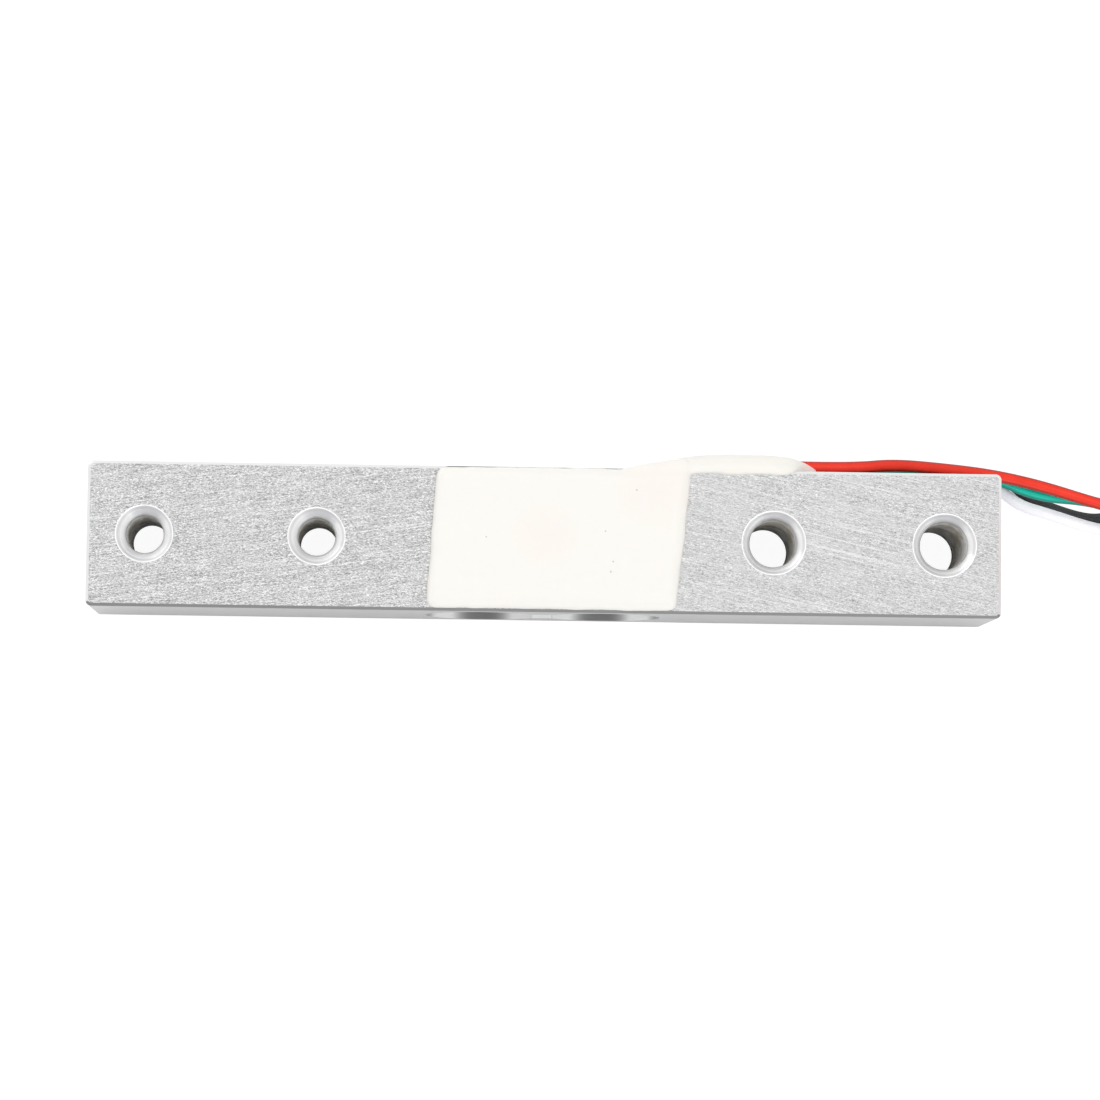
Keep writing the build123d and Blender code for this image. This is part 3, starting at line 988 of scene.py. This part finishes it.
def raw_silicone():
    """The rough masses that the silicone is moulded from."""
    lifted = [[(x, y, bar_high.z + z) for x, y, z in ring] for ring in coat_rings()]
    tongue = [section_ring(section) for section in TONGUE_SECTIONS]
    masses = [
        lifted,
        mirrored(lifted),
        tongue,
        mirrored(tongue),
        [section_ring(section) for section in WRAP_SECTIONS],
        [section_ring(section) for section in BEAD_SECTIONS],
    ]
    points, faces = [], []
    for rings in masses:
        mass_points, mass_faces = capped_rings(rings)
        faces += [tuple(index + len(points) for index in face) for face in mass_faces]
        points += mass_points
    return points, faces


def clear_of_bar(point):
    """Moves a point that lies inside the bar out to the nearest face that carries silicone."""
    reach = side - BOND
    top, bottom = bar_high.z - BOND, bar_low.z + BOND
    if bottom < point.z < top and abs(point.y) < reach:
        to_side = reach - point.y
        to_top = top - point.z
        to_bottom = point.z - bottom
        if to_side < min(to_top, to_bottom):
            point.y = reach
        elif to_top < to_bottom:
            point.z = top
        else:
            point.z = bottom
    return point


def hand_laid(mesh, wave):
    """Lets the surface stray a little, and keeps it on the bar and above the table."""
    noise.seed_set(WAVE_SEED)
    for vertex in mesh.vertices:
        point = vertex.co / MM
        slow, quick = (noise.noise_vector(point * rate) * share for rate, share in WAVES)
        point += (slow + quick) * (wave / MM)
        point.z = min(max(point.z, 0.0), 2 * bar_middle)
        vertex.co = clear_of_bar(point) * MM


def moulded(name, points, faces, cell, material):
    """Melts rough masses into one soft skin."""
    piece = mesh_piece(name, points, faces, material)
    melt = piece.modifiers.new("melt", "REMESH")
    melt.mode = "VOXEL"
    melt.voxel_size = cell
    soften = piece.modifiers.new("soften", "SMOOTH")
    soften.factor = SOFTENING
    soften.iterations = SOFTENING_TURNS
    return piece


def apply_modifiers(piece):
    """Keeps what the modifiers make as the piece's own smooth mesh."""
    graph = bpy.context.evaluated_depsgraph_get()
    mesh = bpy.data.meshes.new_from_object(piece.evaluated_get(graph))
    piece.modifiers.clear()
    piece.data = mesh
    mesh.polygons.foreach_set("use_smooth", [True] * len(mesh.polygons))
    return mesh


# Marks on the upper coat: x, y and radius of its pinholes, and of its two pink flushes. Then the
# stretches of the bead over which it turns creamy, and over which its tail turns pink
PINHOLES = [
    (7.9, 4.4, 0.1), (5.2, 0.75, 0.09), (5.9, -1.9, 0.1), (5.7, -2.8, 0.11), (-5.2, 0.1, 0.09),
]
FLUSHES = [(9.6, 4.6, 4.2), (0.0, 0.3, 3.4)]
CREAMY = (12.0, 15.0)
PINK_TAIL = (21.9, 23.3)


def near(finish, x, y, spot_x, spot_y, radius, softness):
    """1 inside a round spot and 0 outside it, with a soft rim."""
    dx, dy = x - spot_x * MM, y - spot_y * MM
    inner, outer = radius * MM * (1 - softness), radius * MM
    return 1 - finish.rise(dx * dx + dy * dy, inner ** 2, outer ** 2)


def cured_silicone(colour):
    """White silicone: soft depth, faint pink flushes, pinholes and a low satin sheen."""
    finish = Finish("white_silicone")
    place = finish.place()
    x, y, z = (finish.axis(place, name) for name in "XYZ")
    above = finish.rise(z, (bar_high.z - 1.5) * MM, (bar_high.z - 1.0) * MM)
    cloud = finish.grain(1.3, 3.0)
    haze = finish.grain(0.7, 3.0)
    pink = (colour[0], colour[1] * 0.955, colour[2] * 0.95)
    cream = (colour[0] * 0.995, colour[1] * 0.99, colour[2] * 0.98)
    base = finish.tint(finish.rise_over(x, CREAMY), colour, cream)
    base = finish.tint(0.4 * finish.rise_over(x, PINK_TAIL), base, (0.93, 0.62, 0.56))
    for spot in FLUSHES:
        flush = near(finish, x, y, *spot, 1.0) * above * (0.35 + 0.5 * cloud)
        base = finish.tint(flush, base, pink)
    pins = 0.0
    for spot in PINHOLES:
        pins = near(finish, x, y, *spot, 0.7) * above + pins
    base = finish.tint(pins * 0.55, base, shade(colour, 0.4))
    return finish.surface(
        Base_Color=base,
        Roughness=0.36 + 0.14 * haze,
        Specular_IOR_Level=0.4,
        Subsurface_Weight=0.3,
        Subsurface_Radius=(1.0, 0.9, 0.75),
        Subsurface_Scale=0.6 * MM,
        Normal=finish.relief(0.7 * haze - 1.2 * pins, 0.04, 0.3),
    )


class LOADCELL_OT_silicone(bpy.types.Operator):
    """Moulds the silicone over the gauges, round the edge and over the leads"""

    bl_idname = "load_cell.silicone"
    bl_label = "Silicone"

    def execute(self, context):
        values = context.scene.load_cell_silicone
        points, faces = raw_silicone()
        material = cured_silicone(tuple(values.colour))
        piece = moulded("silicone", points, faces, values.cell, material)
        hand_laid(apply_modifiers(piece), values.wave)
        settle(
            piece, "white_silicone",
            "upper_silicone_coat", "lower_silicone_coat", "side_silicone_bead",
        )
        return {"FINISHED"}


# Gauges


def gauge_finishes():
    """The finishes of what lies under the silicone, by the end of the node's name."""
    film = Finish("polyimide_film")
    amber = film.grain(0.4, 3.0)
    foil = Finish("gauge_foil")
    etched = foil.grain(0.05, 3.0)
    laminate = Finish("terminal_laminate")
    weave = laminate.grain(0.15, 3.0)
    copper = Finish("pad_copper")
    patches = copper.grain(0.3, 3.0)
    solder = Finish("bright_solder")
    frost = solder.grain(0.15, 3.0)
    enamel = Finish("enamelled_copper")
    drag = enamel.grain(0.2, 3.0)
    return {
        "gauge_backing": film.surface(
            Base_Color=film.tint(amber, (0.50, 0.22, 0.03), (0.72, 0.40, 0.08)),
            Roughness=0.3 + 0.1 * amber,
        ),
        "gauge_grid": foil.surface(
            Base_Color=foil.tint(etched, (0.52, 0.47, 0.42), (0.76, 0.70, 0.64)), Metallic=1.0,
            Roughness=0.3 + 0.15 * etched,
        ),
        "terminal_strip": laminate.surface(
            Base_Color=laminate.tint(weave, (0.50, 0.34, 0.12), (0.70, 0.52, 0.25)),
            Roughness=0.45 + 0.1 * weave,
        ),
        "terminal_pads": copper.surface(
            Base_Color=copper.tint(patches, (0.62, 0.30, 0.18), (0.86, 0.52, 0.36)), Metallic=1.0,
            Roughness=0.25 + 0.15 * patches,
        ),
        "solder_joints": solder.surface(
            Base_Color=solder.tint(frost, (0.55, 0.55, 0.56), (0.82, 0.82, 0.83)), Metallic=1.0,
            Roughness=0.16 + 0.2 * frost,
        ),
        "wires": enamel.surface(
            Base_Color=enamel.tint(drag, (0.40, 0.13, 0.05), (0.62, 0.24, 0.09)), Metallic=0.8,
            Roughness=0.25 + 0.1 * drag,
        ),
    }


class LOADCELL_OT_gauges(bpy.types.Operator):
    """Gives the gauges, terminals, solder and fine wires their finishes"""

    bl_idname = "load_cell.gauges"
    bl_label = "Gauges and Terminals"

    def execute(self, context):
        finishes = gauge_finishes()
        finishes["jumper"] = finishes["wires"]
        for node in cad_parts:
            for ending, material in finishes.items():
                if node.endswith(ending):
                    dress(node, material)
        return {"FINISHED"}


# Stage


FLOOR_HALF = 3000.0

# Each lamp, aimed at the middle of the bar's foot: place and size in metres, and share of the power
LAMPS = {
    "overhead_lamp": ((0.05, 0.14, 0.6), (0.5, 0.35), 1.0),
    "low_lamp": ((-0.38, 0.42, 0.2), (0.5, 0.3), 0.9),
    "near_lamp": ((0.2, -0.5, 0.3), (0.4, 0.25), 0.9),
}


class LoadCellStage(bpy.types.PropertyGroup):
    lamp: bpy.props.FloatProperty(
        name="Lamp", description="Power of the soft lamp overhead", default=0.7, min=0.0, max=50.0,
        subtype="POWER", unit="POWER",
    )
    sky: bpy.props.FloatProperty(
        name="Surroundings", description="Strength of the even light from all round", default=0.78,
        min=0.0, max=2.0, subtype="FACTOR",
    )
    floor: bpy.props.FloatVectorProperty(
        name="Floor", description="Colour of the floor", default=(0.86, 0.86, 0.86), size=3,
        min=0.0, max=1.0, subtype="COLOR",
    )


def floor_finish(colour):
    """A floor that the camera sees as white with a faint shadow, and that lights as a plain one."""
    finish = Finish("stage_floor")
    seen = finish.node("ShaderNodeLightPath", output="Is Camera Ray")
    return finish.surface(
        Base_Color=finish.tint(seen, colour, shade(colour, 0.2)),
        Roughness=0.9,
        Specular_IOR_Level=0.1,
        Emission_Color=finish.tint(seen, (0.0, 0.0, 0.0), (0.935, 0.935, 0.935)),
        Emission_Strength=1.0,
    )


def lamp(name, place, size, power):
    """A soft oblong lamp."""
    data = bpy.data.lights.new(name, "AREA")
    data.shape = "RECTANGLE"
    data.size, data.size_y = size
    data.energy = power
    light = bpy.data.objects.new(name, data)
    bpy.context.scene.collection.objects.link(light)
    light.location = place
    light.rotation_euler = (-Vector(place)).to_track_quat("-Z", "Y").to_euler()


class LOADCELL_OT_stage(bpy.types.Operator):
    """Lays the floor and sets the lamps and the surroundings"""

    bl_idname = "load_cell.stage"
    bl_label = "Stage"

    def execute(self, context):
        values = context.scene.load_cell_stage
        low, high = -FLOOR_HALF, FLOOR_HALF
        corners = [(low, low, 0.0), (high, low, 0.0), (high, high, 0.0), (low, high, 0.0)]
        finish = floor_finish(tuple(values.floor))
        floor = mesh_piece("floor", corners, [(0, 1, 2, 3)], finish, smooth=False)
        for name, (place, size, share) in LAMPS.items():
            lamp(name, place, size, values.lamp * share)
        world = bpy.data.worlds.new("surroundings")
        context.scene.world = world
        world.use_nodes = True
        sky = world.node_tree.nodes["Background"]
        sky.inputs["Color"].default_value = (1.0, 1.0, 1.0, 1.0)
        sky.inputs["Strength"].default_value = values.sky
        context.scene.view_settings.view_transform = "Standard"
        return {"FINISHED"}


class LOADCELL_PT_panel(bpy.types.Panel):
    bl_idname = "LOADCELL_PT_panel"
    bl_label = "Load Cell"
    bl_space_type = "VIEW_3D"
    bl_region_type = "UI"
    bl_category = "Load Cell"

    def draw(self, context):
        for group in GROUPS:
            box = self.layout.box()
            for name in GROUPS[group].__annotations__:
                box.prop(getattr(context.scene, group), name)
        for operator in OPERATORS:
            self.layout.operator(operator.bl_idname)


GROUPS = {
    "load_cell_leads": LoadCellLeads,
    "load_cell_metal": LoadCellMetal,
    "load_cell_silicone": LoadCellSilicone,
    "load_cell_stage": LoadCellStage,
}
OPERATORS = (
    LOADCELL_OT_camera,
    LOADCELL_OT_leads,
    LOADCELL_OT_lead_ends,
    LOADCELL_OT_bar,
    LOADCELL_OT_threads,
    LOADCELL_OT_silicone,
    LOADCELL_OT_gauges,
    LOADCELL_OT_stage,
)


def register():
    for kind in (*GROUPS.values(), *OPERATORS, LOADCELL_PT_panel):
        bpy.utils.register_class(kind)
    for name, kind in GROUPS.items():
        setattr(bpy.types.Scene, name, bpy.props.PointerProperty(type=kind))


def unregister():
    for name in GROUPS:
        delattr(bpy.types.Scene, name)
    for kind in (LOADCELL_PT_panel, *OPERATORS, *GROUPS.values()):
        bpy.utils.unregister_class(kind)


def main():
    register()
    for operator in OPERATORS:
        group, name = operator.bl_idname.split(".")
        getattr(getattr(bpy.ops, group), name)()


if __name__ == "__main__":
    main()
